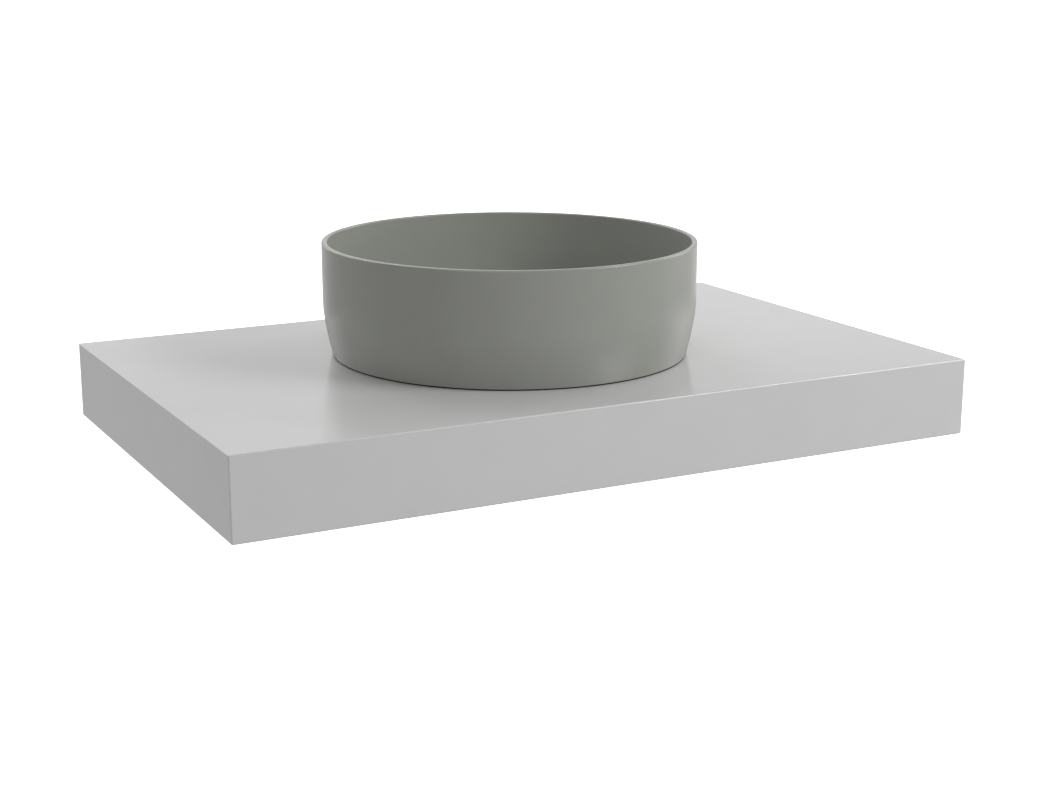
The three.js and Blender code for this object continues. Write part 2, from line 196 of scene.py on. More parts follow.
def circle(x, y, radius, count):
    points = []
    for k in range(count):
        angle = 2 * math.pi * k / count
        points.append((x + radius * math.cos(angle), y + radius * math.sin(angle)))
    return points


def rounded_rectangle(x0, x1, y0, y1, radius, steps=8):
    points = []
    corners = ((x1, y1, 0), (x0, y1, 90), (x0, y0, 180), (x1, y0, 270))
    for x, y, start in corners:
        cx = x - math.copysign(radius, x - (x0 + x1) / 2)
        cy = y - math.copysign(radius, y - (y0 + y1) / 2)
        for k in range(steps + 1):
            angle = math.radians(start + 90 * k / steps)
            points.append((cx + radius * math.cos(angle), cy + radius * math.sin(angle)))
    return points


def combined(mesh, *tools, operation="DIFFERENCE", sharp_angle=35):
    """mesh cut by, or joined with, the tool meshes."""
    base = bpy.data.objects.new("base", mesh)
    bpy.context.scene.collection.objects.link(base)
    helpers = []
    for tool in tools:
        helper = bpy.data.objects.new("tool", tool)
        bpy.context.scene.collection.objects.link(helper)
        helpers.append(helper)
        boolean = base.modifiers.new("combine", "BOOLEAN")
        boolean.operation = operation
        boolean.solver = "EXACT"
        boolean.object = helper
    depsgraph = bpy.context.evaluated_depsgraph_get()
    result = bpy.data.meshes.new_from_object(base.evaluated_get(depsgraph))
    for helper in [base, *helpers]:
        bpy.data.objects.remove(helper)
    result.shade_smooth()
    result.set_sharp_from_angle(angle=math.radians(sharp_angle))
    return result


def cylinder_tool(x, y, z0, z1, radius):
    return prism("tool", circle(x, y, radius, 48), z0, z1)


# ------------------------------------------------------------------ materials


class Shader:
    """A small builder round one Principled material's node tree."""

    def __init__(self, name, color, roughness, metallic=0.0, **sockets):
        self.material = bpy.data.materials.new(name)
        self.material.use_nodes = True
        self.nodes = self.material.node_tree.nodes
        self.links = self.material.node_tree.links
        self.bsdf = next(n for n in self.nodes if n.type == "BSDF_PRINCIPLED")
        self.set(self.bsdf, "Base Color", (*color, 1))
        self.set(self.bsdf, "Roughness", roughness)
        self.set(self.bsdf, "Metallic", metallic)
        for socket, value in sockets.items():
            self.set(self.bsdf, socket.replace("_", " "), value)
        self.place = self.nodes.new("ShaderNodeTexCoord").outputs["Object"]

    @staticmethod
    def set(node, socket, value):
        node.inputs[socket].default_value = value

    def link(self, source, node, socket):
        self.links.new(source, node.inputs[socket])

    def stretched(self, scale):
        """Object coordinates scaled per axis, for grain that runs one way."""
        mapping = self.nodes.new("ShaderNodeMapping")
        self.set(mapping, "Scale", scale)
        self.link(self.place, mapping, "Vector")
        return mapping.outputs["Vector"]

    def noise(self, size, detail=3.0, roughness=0.5, place=None):
        """Noise whose features are about size metres across."""
        noise = self.nodes.new("ShaderNodeTexNoise")
        self.set(noise, "Scale", 1 / size)
        self.set(noise, "Detail", detail)
        self.set(noise, "Roughness", roughness)
        self.link(place or self.place, noise, "Vector")
        return noise.outputs["Fac"]

    def cells(self, size, place=None):
        voronoi = self.nodes.new("ShaderNodeTexVoronoi")
        self.set(voronoi, "Scale", 1 / size)
        self.link(place or self.place, voronoi, "Vector")
        return voronoi.outputs["Distance"]

    def ramp(self, source, low, high, from_min=0.3, from_max=0.7):
        """source remapped from [from_min, from_max] to [low, high]."""
        remap = self.nodes.new("ShaderNodeMapRange")
        for socket, value in zip(
            ("From Min", "From Max", "To Min", "To Max"), (from_min, from_max, low, high)
        ):
            self.set(remap, socket, value)
        self.link(source, remap, "Value")
        return remap.outputs["Result"]

    def mix(self, factor, a, b):
        """Colour a to colour b by factor; each is a colour or a socket."""
        mix = self.nodes.new("ShaderNodeMix")
        mix.data_type = "RGBA"
        self.links.new(factor, mix.inputs[0])
        for index, value in ((6, a), (7, b)):
            if isinstance(value, bpy.types.NodeSocket):
                self.links.new(value, mix.inputs[index])
            else:
                mix.inputs[index].default_value = (*value, 1)
        return mix.outputs[2]

    def height(self, source, strength, depth, normal=None):
        bump = self.nodes.new("ShaderNodeBump")
        self.set(bump, "Strength", strength)
        self.set(bump, "Distance", depth)
        self.link(source, bump, "Height")
        if normal:
            self.link(normal, bump, "Normal")
        return bump.outputs["Normal"]

    def color(self, source):
        self.link(source, self.bsdf, "Base Color")

    def roughness(self, source):
        self.link(source, self.bsdf, "Roughness")

    def normal(self, source):
        self.link(source, self.bsdf, "Normal")


def scaled(color, factor):
    return tuple(channel * factor for channel in color)


LACQUER = (0.628, 0.628, 0.626)
GLAZE = (0.308, 0.316, 0.288)
BISQUE = (0.55, 0.51, 0.44)


def lacquer_material():
    """Sprayed satin lacquer: fine orange peel, slightly uneven sheen."""
    s = Shader("satin_lacquer", LACQUER, 0.18, Specular_IOR_Level=0.42)
    s.color(s.mix(s.ramp(s.noise(0.05), 0, 1), scaled(LACQUER, 0.985), scaled(LACQUER, 1.01)))
    s.roughness(s.ramp(s.noise(0.03, detail=5), 0.165, 0.195))
    peel = s.height(s.noise(1.6 * MM, detail=1), 0.10, 0.02 * MM)
    s.normal(s.height(s.noise(0.25 * MM, detail=2), 0.06, 0.01 * MM, normal=peel))
    return s.material


def board_material():
    """Raw MDF: felted fibres, darker specks."""
    raw = (0.36, 0.235, 0.125)
    s = Shader("raw_mdf", raw, 0.82)
    fibres = s.noise(0.9 * MM, detail=6, roughness=0.7, place=s.stretched((1, 1, 3)))
    specks = s.ramp(s.noise(0.35 * MM, detail=2), 0, 1, from_min=0.55, from_max=0.72)
    base = s.mix(s.ramp(fibres, 0, 1), scaled(raw, 0.84), scaled(raw, 1.14))
    s.color(s.mix(specks, base, scaled(raw, 0.62)))
    s.roughness(s.ramp(fibres, 0.76, 0.9))
    s.normal(s.height(fibres, 0.35, 0.08 * MM))
    return s.material


def glaze_material():
    """Matt grey-green glaze, bare biscuit on the foot where the bowl stood in the kiln."""
    s = Shader("matt_glaze", GLAZE, 0.25)
    mottle = s.mix(s.ramp(s.noise(0.045, detail=4), 0, 1), scaled(GLAZE, 0.975), scaled(GLAZE, 1.025))
    grains = s.ramp(s.noise(0.5 * MM, detail=3, roughness=0.65), 0, 1, from_min=0.42, from_max=0.68)
    glazed = s.mix(grains, mottle, scaled(GLAZE, 0.94))
    split = s.nodes.new("ShaderNodeSeparateXYZ")
    s.link(s.place, split, "Vector")
    foot = s.ramp(split.outputs["Z"], 1, 0, from_min=DECK + 1.6 * MM, from_max=DECK + 2.1 * MM)
    s.color(s.mix(foot, glazed, BISQUE))
    s.roughness(s.ramp(s.noise(0.02, detail=4), 0.23, 0.27))
    soft = s.height(s.noise(2.2 * MM, detail=2), 0.08, 0.03 * MM)
    s.normal(s.height(s.noise(0.28 * MM, detail=3, roughness=0.6), 0.12, 0.012 * MM, normal=soft))
    return s.material


def metal_material(name, color, roughness, grain, place_scale=(1, 1, 1), depth=0.01 * MM):
    """Bare or plated metal with fine drawn or turned marks."""
    s = Shader(name, color, roughness, metallic=1.0)
    marks = s.noise(grain, detail=4, roughness=0.6, place=s.stretched(place_scale))
    cloud = s.noise(6 * MM, detail=3)
    s.color(s.mix(s.ramp(cloud, 0, 1), scaled(color, 0.93), scaled(color, 1.04)))
    s.roughness(s.ramp(cloud, roughness * 0.8, roughness * 1.25))
    s.normal(s.height(marks, 0.12, depth))
    return s.material


def grained_material(name, color, roughness, grain, strength, depth):
    """Moulded, cast or coated black goods with a fine pebbled surface."""
    s = Shader(name, color, roughness)
    pebble = s.noise(grain, detail=3, roughness=0.6)
    s.color(s.mix(s.ramp(s.noise(12 * MM), 0, 1), scaled(color, 0.85), scaled(color, 1.2)))
    s.roughness(s.ramp(pebble, roughness * 0.92, min(1.0, roughness * 1.08)))
    s.normal(s.height(pebble, strength, depth))
    return s.material


def foam_material():
    """Grey closed-cell foam, with painted shade darkening the hollow of each cell."""
    s = Shader("closed_cell_foam", (0.045, 0.046, 0.048), 0.95)
    cells = s.cells(0.7 * MM)
    # Painted shade: the colour is darker towards the bottom of each cell's hollow, where the bump is
    # lowest.
    depth = s.ramp(cells, 0, 1, from_min=0, from_max=0.7)
    s.color(s.mix(depth, (0.03, 0.031, 0.032), (0.065, 0.066, 0.07)))
    s.normal(s.height(cells, 0.6, 0.2 * MM))
    return s.material


lacquer = lacquer_material()
raw_board = board_material()
glaze = glaze_material()
chrome = metal_material("waste_chrome", (0.78, 0.79, 0.8), 0.07, 0.4 * MM, depth=0.002 * MM)
brass = metal_material("turned_brass", (0.62, 0.43, 0.17), 0.26, 0.5 * MM, (1, 1, 6))
zinc = metal_material("zinc_plate", (0.6, 0.61, 0.63), 0.28, 0.3 * MM)
spring_steel = metal_material("spring_steel", (0.5, 0.51, 0.53), 0.22, 0.2 * MM)
powder_coat = grained_material("powder_coat", (0.018, 0.019, 0.021), 0.46, 0.5 * MM, 0.3, 0.03 * MM)
rubber = grained_material("black_rubber", (0.014, 0.014, 0.015), 0.8, 0.4 * MM, 0.25, 0.02 * MM)
plastic = grained_material("moulded_plastic", (0.022, 0.022, 0.024), 0.5, 0.25 * MM, 0.2, 0.01 * MM)
foam = foam_material()

# ------------------------------------------------------------------ console shell

ARRIS = 1.3 * MM
ARRIS_STEPS = 6
DECK_HOLE = 23 * MM

TOP_LEFT_FRONT = Vector((SHELL_LOW.x, SHELL_LOW.y, SHELL_HIGH.z))
TOP_RIGHT_FRONT = Vector((SHELL_HIGH.x, SHELL_LOW.y, SHELL_HIGH.z))
DOWN = Vector((0, 0, -1))
BACK = Vector((0, 1, 0))
RIGHT = Vector((1, 0, 0))

# Each board is the rounded shell cut by planes given as (point, direction that is cut away).
SHELL_BOARDS = {
    "top_panel": [
        (Vector((0, 0, SOFFIT)), DOWN),
        (TOP_LEFT_FRONT, DOWN - BACK), (TOP_LEFT_FRONT, DOWN - RIGHT), (TOP_RIGHT_FRONT, DOWN + RIGHT),
    ],
    "front_fascia": [
        (Vector((0, INNER_FRONT, 0)), BACK),
        (TOP_LEFT_FRONT, BACK - DOWN), (TOP_LEFT_FRONT, BACK - RIGHT), (TOP_RIGHT_FRONT, BACK + RIGHT),
    ],
    "left_end_panel": [
        (Vector((-INNER_X, 0, 0)), RIGHT),
        (TOP_LEFT_FRONT, RIGHT - DOWN), (TOP_LEFT_FRONT, RIGHT - BACK),
    ],
    "right_end_panel": [
        (Vector((INNER_X, 0, 0)), -RIGHT),
        (TOP_RIGHT_FRONT, -RIGHT - DOWN), (TOP_RIGHT_FRONT, -RIGHT - BACK),
    ],
}


def is_outside(face):
    """True for a face on the console's lacquered outside, rounded edges included."""
    centre = face.calc_center_median()
    depth = min(
        centre.x - SHELL_LOW.x, SHELL_HIGH.x - centre.x, centre.y - SHELL_LOW.y,
        SHELL_HIGH.y - centre.y, centre.z - SHELL_LOW.z, SHELL_HIGH.z - centre.z,
    )
    return depth < ARRIS * 0.5


def shell_board(name, cuts):
    bm = block(SHELL_LOW, SHELL_HIGH, ARRIS, ARRIS_STEPS)
    for point, cut_away in cuts:
        cut = bmesh.ops.bisect_plane(
            bm, geom=bm.verts[:] + bm.edges[:] + bm.faces[:], dist=NEAR,
            plane_co=point, plane_no=cut_away.normalized(), clear_outer=True,
        )
        rim = [e for e in cut["geom_cut"] if isinstance(e, bmesh.types.BMEdge)]
        bmesh.ops.edgeloop_fill(bm, edges=rim)
    for face in bm.faces:
        face.material_index = 0 if is_outside(face) else 1
    return mesh_of(name, bm, sharp_angle=40)


def add_shell():
    for name, cuts in SHELL_BOARDS.items():
        mesh = shell_board(name + "_mesh", cuts)
        mesh.materials.append(lacquer)
        mesh.materials.append(raw_board)
        if name == "top_panel":
            drain = cylinder_tool(AXIS.x, AXIS.y, SOFFIT - PAST, DECK + PAST, DECK_HOLE)
            mesh = combined(mesh, drain, sharp_angle=40)
        board = new_piece("lacquered_" + name, mesh, lacquer, CONSOLE, (name,))
        weight_normals(board)


# ------------------------------------------------------------------ rings

# The rings' inner radii, in millimetres.
RING_INNER = {
    "boss_gasket": 24.5, "flange_gasket": 23, "lower_gasket": 21.5, "friction_washer": 21.5,
    "cap_seal": 8.3,
}


def ring_mesh(node, fillet):
    """A flat ring with eased corners in the place of a CAD ring."""
    low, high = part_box(node)
    inner, outer = RING_INNER[node] * MM, (high.x - low.x) / 2
    corners = [
        (inner, low.z, fillet), (outer, low.z, fillet),
        (outer, high.z, fillet), (inner, high.z, fillet),
    ]
    return revolve(node + "_mesh", filleted(corners, steps=4, support=0.1 * MM))


# ------------------------------------------------------------------ basin

# The bowl's section is in millimetres, with heights above the deck.
TAPER_HEIGHT = 49
TAPER_SLOPE = 0.125
TAPER_CURVE = 0.0014
TAPER_BLEND = 7
WALL = 6
RIM_ROUND = 1.5
FOOT_GAP = 1.5
FOOT_ROUND = 0.7
FOOT_WIDTH = 15
SEAL_WIDTH = 10
FLOOR = 18
FLOOR_AT_DRAIN = 16
FALL_RADIUS = 100
FALL = 0.9
FILLET = 28
RECESS = 8
RECESS_ROUND = 3
FOOT_DRAFT = 2
FOOT_INNER_ROUND = 1.2
EDGE_ROUND = 1
BOSS_RADIUS = 41
SEAT_RADIUS = 33.5
SEAT_FLOOR = 13
DRAIN_RADIUS = 22.5


def outer_radius(height):
    """Outer radius in millimetres at a height above the deck; the taper starts in a soft bend."""
    offset = TAPER_HEIGHT - height
    below = (offset + math.sqrt(offset * offset + TAPER_BLEND * TAPER_BLEND)) / 2
    return BASIN_RADIUS / MM - TAPER_SLOPE * below - TAPER_CURVE * below * below


def arc(cx, cz, radius, start, end, steps):
    points = []
    for k in range(steps + 1):
        angle = math.radians(start + (end - start) * k / steps)
        points.append((cx + radius * math.cos(angle), cz + radius * math.sin(angle)))
    return points


def basin_outline():
    """The bowl's section as (radius, height above the deck) in millimetres."""
    top = (BASIN_HIGH.z - DECK) / MM
    radius = BASIN_RADIUS / MM
    inside = radius - WALL
    foot_top = FOOT_GAP + FOOT_ROUND
    foot_outer = outer_radius(foot_top)
    foot_inner = foot_outer - FOOT_WIDTH
    rim_bottom = top - RIM_ROUND
    wall_low, wall_high = foot_top + 0.6, rim_bottom - 1
    wall_steps = 40
    fillet_top = FLOOR + FILLET
    outline = [(DRAIN_RADIUS, FOOT_GAP), (DRAIN_RADIUS + 1, FOOT_GAP), (BOSS_RADIUS - EDGE_ROUND, FOOT_GAP)]
    outline += arc(BOSS_RADIUS - EDGE_ROUND, FOOT_GAP + EDGE_ROUND, EDGE_ROUND, -90, 0, 4)
    outline += arc(BOSS_RADIUS + RECESS_ROUND, RECESS - RECESS_ROUND, RECESS_ROUND, 180, 90, 5)
    outline += arc(foot_inner - FOOT_DRAFT - RECESS_ROUND, RECESS - RECESS_ROUND, RECESS_ROUND, 90, 0, 5)
    outline += arc(foot_inner, FOOT_GAP + FOOT_INNER_ROUND, FOOT_INNER_ROUND, 180, 270, 4)
    outline += arc(foot_outer - FOOT_ROUND, foot_top, FOOT_ROUND, -90, -8, 6)
    for k in range(wall_steps + 1):
        height = wall_low + (wall_high - wall_low) * k / wall_steps
        outline.append((outer_radius(height), height))
    outline += arc(radius - RIM_ROUND, rim_bottom, RIM_ROUND, 0, 90, 6)
    outline += arc(inside + RIM_ROUND, rim_bottom, RIM_ROUND, 90, 180, 6)
    outline += [(inside, wall_high), (inside, fillet_top + 20), (inside, fillet_top + 0.5)]
    outline += arc(inside - FILLET, fillet_top, FILLET, 0, -89, 20)
    outline += [(inside - FILLET - 2, FLOOR), (FALL_RADIUS, FLOOR - FALL)]
    outline += [(SEAT_RADIUS + 3, FLOOR_AT_DRAIN + 0.05), (SEAT_RADIUS + 1.2, FLOOR_AT_DRAIN)]
    outline += arc(SEAT_RADIUS + EDGE_ROUND, FLOOR_AT_DRAIN - EDGE_ROUND, EDGE_ROUND, 90, 180, 4)
    outline += [(SEAT_RADIUS, SEAT_FLOOR), (DRAIN_RADIUS + 0.5, SEAT_FLOOR)]
    outline.append((DRAIN_RADIUS, SEAT_FLOOR - 0.5))
    return [(r * MM, DECK + z * MM) for r, z in outline]


def add_basin():
    """The bowl, the black seal squeezed out to the edge of its foot, and the drain boss's gasket."""
    mesh = revolve("basin_mesh", basin_outline(), segments=288, sharp_angle=50)
    new_piece("glazed_basin", mesh, glaze, CONSOLE, ("basin",))
    low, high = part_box("foot_seal")
    inner = (high.x - low.x) / 2 - SEAL_WIDTH * MM
    outer = (outer_radius(FOOT_GAP) - FOOT_ROUND) * MM
    middle = (low.z + high.z) / 2
    hollow = 0.3 * MM
    outline = [
        (inner, low.z), (outer - 0.1 * MM, low.z), (outer - 0.2 * MM, middle - hollow),
        (outer - 0.25 * MM, middle), (outer - 0.2 * MM, middle + hollow), (outer - 0.1 * MM, high.z),
        (inner, high.z),
    ]
    seal = revolve("foot_seal_mesh", outline, segments=192)
    new_piece("silicone_foot_seal", seal, rubber, CONSOLE, ("foot_seal",))
    gasket = ring_mesh("boss_gasket", 0.3 * MM)
    new_piece("drain_boss_gasket", gasket, foam, CONSOLE, ("boss_gasket",))


# ------------------------------------------------------------------ waste and its clamp

WASTE_LOW, WASTE_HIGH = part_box("waste_body")
WASTE_BORE = 18.5 * MM
WASTE_OUTSIDE = 20.95 * MM
FLANGE_RADIUS = (WASTE_HIGH.x - WASTE_LOW.x) / 2
FLANGE_THICKNESS = 2.5 * MM
SEAT_CONE_RADIUS = 27 * MM
SEAT_CONE_DEPTH = 6 * MM
PIPE_PITCH = 2.309 * MM
PIPE_THREAD_DEPTH = 1.0 * MM
PIPE_THREAD_TOP = SOFFIT + 3 * MM
TAIL_CHAMFER = 1 * MM
ROWS_PER_PITCH = 10
BAR_BOTTOM = 26 * MM
BAR_TOP = 34 * MM
BAR_WIDTH = 3 * MM
HUB_RADIUS = 7 * MM
HUB_BORE = 4.3 * MM


def thread_wave(z, angle, pitch):
    """0 at a thread's crest and 1 at its root, for a right-hand thread with rounded crests."""
    return (1 - math.cos(2 * math.pi * z / pitch - angle)) / 2


def pipe_thread(low, high):
    def radius_at(r, z, angle):
        if abs(r - WASTE_OUTSIDE) > NEAR or not low < z < high:
            return r
        fade = min(1.0, (z - low) / PIPE_PITCH, (high - z) / PIPE_PITCH)
        return r - PIPE_THREAD_DEPTH * fade * thread_wave(z, angle, PIPE_PITCH)

    return radius_at


def waste_outline():
    tail, top = WASTE_LOW.z, WASTE_HIGH.z
    under_flange = top - FLANGE_THICKNESS
    thread_bottom = tail + TAIL_CHAMFER
    steps = round((PIPE_THREAD_TOP - tail) / PIPE_PITCH * ROWS_PER_PITCH)
    outline = [(WASTE_BORE, thread_bottom), (WASTE_BORE + 0.6 * MM, tail), (WASTE_OUTSIDE - 0.9 * MM, tail)]
    for k in range(steps + 1):
        outline.append((WASTE_OUTSIDE, thread_bottom + (PIPE_THREAD_TOP - thread_bottom) * k / steps))
    # The first corner only steers the fillet next to it.
    corners = [
        (WASTE_OUTSIDE, PIPE_THREAD_TOP, 0),
        (WASTE_OUTSIDE, under_flange, 0.8 * MM), (FLANGE_RADIUS, under_flange, 0.3 * MM),
        (FLANGE_RADIUS, top, 1.2 * MM), (SEAT_CONE_RADIUS, top, 1.0 * MM),
        (WASTE_BORE, top - SEAT_CONE_DEPTH, 1.5 * MM), (WASTE_BORE, tail + 20 * MM, 0),
    ]
    return outline + filleted(corners, steps=6, support=0.2 * MM)[1:]


def add_waste():
    """The chrome body with its cross-bar and hub, its rings and its nut."""
    thread = pipe_thread(WASTE_LOW.z + TAIL_CHAMFER, PIPE_THREAD_TOP)
    tube = revolve("waste_tube", waste_outline(), radius_at=thread)
    reach = Vector((WASTE_BORE + 1 * MM, BAR_WIDTH / 2, 0))
    bar_low = Vector((AXIS.x, AXIS.y, BAR_BOTTOM)) - reach
    bar_high = Vector((AXIS.x, AXIS.y, BAR_TOP)) + reach
    bar = mesh_of("bar", block(bar_low, bar_high, 0.4 * MM, 3))
    hub = cylinder_tool(AXIS.x, AXIS.y, BAR_BOTTOM, BAR_TOP, HUB_RADIUS)
    body = combined(tube, bar, hub, operation="UNION")
    hole = cylinder_tool(AXIS.x, AXIS.y, BAR_BOTTOM - PAST, BAR_TOP + PAST, HUB_BORE)
    body = combined(body, hole)
    new_piece("chrome_waste_body", body, chrome, CONSOLE, ("waste_body",))
    rings = {
        "flange_gasket": (rubber, "black_rubber", 0.3), "lower_gasket": (rubber, "black_rubber", 0.8),
        "friction_washer": (plastic, "black_plastic", 0.3),
    }
    for node, (material, slot, fillet) in rings.items():
        new_piece("waste_" + node, ring_mesh(node, fillet * MM), material, CONSOLE, (node,))
    new_piece("brass_back_nut", back_nut_mesh(), brass, CONSOLE, ("back_nut",))


def polygon_radius(apothem, sides, angle):
    share = 2 * math.pi / sides
    return apothem / math.cos(angle % share - share / 2)


NUT_SIDES = 8
NUT_BORE = 21.05 * MM
NUT_MOUTH = 22.3 * MM
NUT_MOUTH_DEPTH = 1.2 * MM


def back_nut_mesh():
    """An eight-sided nut whose corners are turned down to a chamfer at both faces."""
    low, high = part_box("back_nut")
    corner = (high.x - low.x) / 2
    apothem = corner * math.cos(math.pi / NUT_SIDES)
    chamfer = (corner - apothem) * 1.15
    drop = chamfer * 0.77
    blank = prism("back_nut_mesh", circle(AXIS.x, AXIS.y, corner, NUT_SIDES), low.z, high.z)
    barrel = [
        (0, low.z), (corner - chamfer, low.z), (corner + 1 * MM, low.z + drop),
        (corner + 1 * MM, high.z - drop), (corner - chamfer, high.z), (0, high.z),
    ]
    turned = combined(blank, revolve("barrel", barrel), operation="INTERSECT")
    hole = [
        (0, low.z - PAST), (NUT_MOUTH, low.z - PAST), (NUT_MOUTH, low.z),
        (NUT_BORE, low.z + NUT_MOUTH_DEPTH), (NUT_BORE, high.z - NUT_MOUTH_DEPTH),
        (NUT_MOUTH, high.z), (NUT_MOUTH, high.z + PAST), (0, high.z + PAST),
    ]
    return combined(turned, revolve("bore", hole), sharp_angle=30)


# ------------------------------------------------------------------ push-to-close cap

CAP_LOW, CAP_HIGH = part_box("drain_cap")
CAP_SEAL_LOW, CAP_SEAL_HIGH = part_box("cap_seal")
CAP_HUB = 10.5 * MM
CAP_GROOVE = 8 * MM
CAP_RIM = 2.5 * MM
CARTRIDGE_BODY = 4.1 * MM
CARTRIDGE_BORE = 2.6 * MM
CARTRIDGE_FLOOR = 3 * MM
COLLAR_HEIGHT = 2 * MM
PLUNGER_RADIUS = 2.3 * MM
PLUNGER_GROOVE = 1.7 * MM
SPRING_WIRE = 0.45 * MM
SPRING_COIL = 4.45 * MM
SPRING_TURNS = 6.5
CLOSED_TURNS = 1.1
STEPS_PER_TURN = 36


def cap_outline():
    """A low dome over a rim, with the hub and the seal's groove below it."""
    radius = (CAP_HIGH.x - CAP_LOW.x) / 2
    underside = CAP_SEAL_HIGH.z
    rim_top = underside + CAP_RIM
    # The first and last corners only steer the fillets next to them.
    corners = [
        (0, CAP_LOW.z, 0),
        (CAP_HUB, CAP_LOW.z, 0.5 * MM), (CAP_HUB, CAP_SEAL_LOW.z, 0.3 * MM),
        (CAP_GROOVE, CAP_SEAL_LOW.z, 0), (CAP_GROOVE, underside, 0),
        (radius - 1.2 * MM, underside, 0.2 * MM), (radius, underside + 0.5 * MM, 0.3 * MM),
        (radius, rim_top - 0.2 * MM, 1.0 * MM), (radius * 0.9, rim_top, 0),
    ]
    outline = [(0, CAP_LOW.z), *filleted(corners, 6, 0.1 * MM)[1:-1]]
    dome_edge = radius - 1.3 * MM
    steps = 14
    for k in range(steps):
        r = dome_edge * (1 - k / steps)
        outline.append((r, rim_top + (CAP_HIGH.z - rim_top) * (1 - (r / dome_edge) ** 2)))
    outline.append((0, CAP_HIGH.z))
    return outline


def hexagon_collar(radius, low, high):
    apothem = radius * math.cos(math.pi / 6)

    def radius_at(r, z, angle):
        on_collar = r > radius * 0.95 and low - NEAR <= z <= high + NEAR
        return polygon_radius(apothem, 6, angle) if on_collar else r

    return radius_at


def cartridge_outline(collar_bottom):
    """The latch cartridge, a cup whose collar is cut to a hexagon."""
    low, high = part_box("cap_cartridge")
    radius = (high.x - low.x) / 2
    floor = low.z + CARTRIDGE_FLOOR
    corners = [
        (0, low.z, 0), (CARTRIDGE_BODY, low.z, 0.4 * MM),
        (CARTRIDGE_BODY, collar_bottom, 0), (radius, collar_bottom, 0), (radius, high.z, 0),
        (CARTRIDGE_BORE + 0.5 * MM, high.z, 0), (CARTRIDGE_BORE, high.z - 0.5 * MM, 0),
        (CARTRIDGE_BORE, floor, 0), (0, floor, 0),
    ]
    return filleted(corners, 4, 0.1 * MM)


def plunger_outline():
    """A plain pin with one latch groove near its lower end."""
    low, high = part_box("plunger")
    corners = [
        (0, low.z, 0),
        (PLUNGER_RADIUS - 0.7 * MM, low.z, 0), (PLUNGER_RADIUS, low.z + 1 * MM, 0.3 * MM),
        (PLUNGER_RADIUS, low.z + 3 * MM, 0.2 * MM), (PLUNGER_GROOVE, low.z + 3.3 * MM, 0.1 * MM),
        (PLUNGER_GROOVE, low.z + 4.3 * MM, 0.1 * MM), (PLUNGER_RADIUS, low.z + 4.6 * MM, 0.2 * MM),
        (PLUNGER_RADIUS, high.z, 0),
    ]
    return [*filleted(corners, 4, 0.05 * MM), (0, high.z)]


def vertex_ring(bm, point, side, top, radius, count):
    """A ring of vertices about a point, in the plane of side and top."""
    ring = []
    for j in range(count):
        angle = 2 * math.pi * j / count
        spoke = side * math.cos(angle) + top * math.sin(angle)
        ring.append(bm.verts.new(point + spoke * radius))
    return ring


def wire_mesh(name, centreline, radius):
    """A round wire along a list of points."""
    bm = bmesh.new()
    rings = []
    last = len(centreline) - 1
    for k, point in enumerate(centreline):
        ahead = (centreline[min(k + 1, last)] - centreline[max(k - 1, 0)]).normalized()
        side = ahead.cross(Vector((0, 0, 1))).normalized()
        rings.append(vertex_ring(bm, point, side, side.cross(ahead), radius, 12))
    skin(bm, rings)
    bm.faces.new(rings[0])
    bm.faces.new(rings[-1])
    return mesh_of(name, bm, sharp_angle=60)


def spring_mesh():
    """A compression spring whose first and last coils lie closed against their neighbours."""
    low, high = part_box("cap_spring")
    bottom, rise = low.z + SPRING_WIRE, high.z - low.z - 2 * SPRING_WIRE
    closed_rise = 2 * SPRING_WIRE * CLOSED_TURNS * 1.04
    open_rise = rise - 2 * closed_rise
    open_turns = SPRING_TURNS - 2 * CLOSED_TURNS
    steps = int(SPRING_TURNS * STEPS_PER_TURN)
    points = []
    for k in range(steps + 1):
        turn = SPRING_TURNS * k / steps
        if turn < CLOSED_TURNS:
            height = closed_rise * turn / CLOSED_TURNS
        elif turn > SPRING_TURNS - CLOSED_TURNS:
            height = rise - closed_rise * (SPRING_TURNS - turn) / CLOSED_TURNS
        else:
            height = closed_rise + open_rise * (turn - CLOSED_TURNS) / open_turns
        angle = 2 * math.pi * turn
        x, y = AXIS.x + SPRING_COIL * math.cos(angle), AXIS.y + SPRING_COIL * math.sin(angle)
        points.append(Vector((x, y, bottom + height)))
    return wire_mesh("cap_spring_mesh", points, SPRING_WIRE)


def add_cap():
    """The cap with its seal and plunger, which slide, and the cartridge and the spring."""
    cap = revolve("drain_cap_mesh", cap_outline(), segments=128)
    new_piece("chrome_drain_cap", cap, chrome, PLUG, ("drain_cap",))
    seal = ring_mesh("cap_seal", 1.1 * MM)
    new_piece("drain_cap_seal", seal, rubber, PLUG, ("cap_seal",))
    plunger = revolve("plunger_mesh", plunger_outline(), segments=48)
    new_piece("cap_plunger", plunger, zinc, PLUG, ("plunger",))
    low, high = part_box("cap_cartridge")
    collar_bottom = high.z - COLLAR_HEIGHT
    cartridge = revolve(
        "cap_cartridge_mesh", cartridge_outline(collar_bottom), segments=72,
        radius_at=hexagon_collar((high.x - low.x) / 2, collar_bottom, high.z),
    )
    new_piece("latch_cartridge", cartridge, plastic, CONSOLE, ("cap_cartridge",))
    spring = new_piece(
        "return_spring", spring_mesh(), spring_steel, CONSOLE, ("cap_spring",),
    )
    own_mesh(spring)


# ------------------------------------------------------------------ screws

COVER_SCREWS = [f"cover_screw_{i}" for i in range(1, 9)]
SCREW_TURN = 2.4  # radians from one screw's recess to the next one's
POINT_LENGTH = 5 * MM
ROWS_PER_THREAD = 6
THREAD_SHARE = 0.36
POINT_SHARE = 0.12


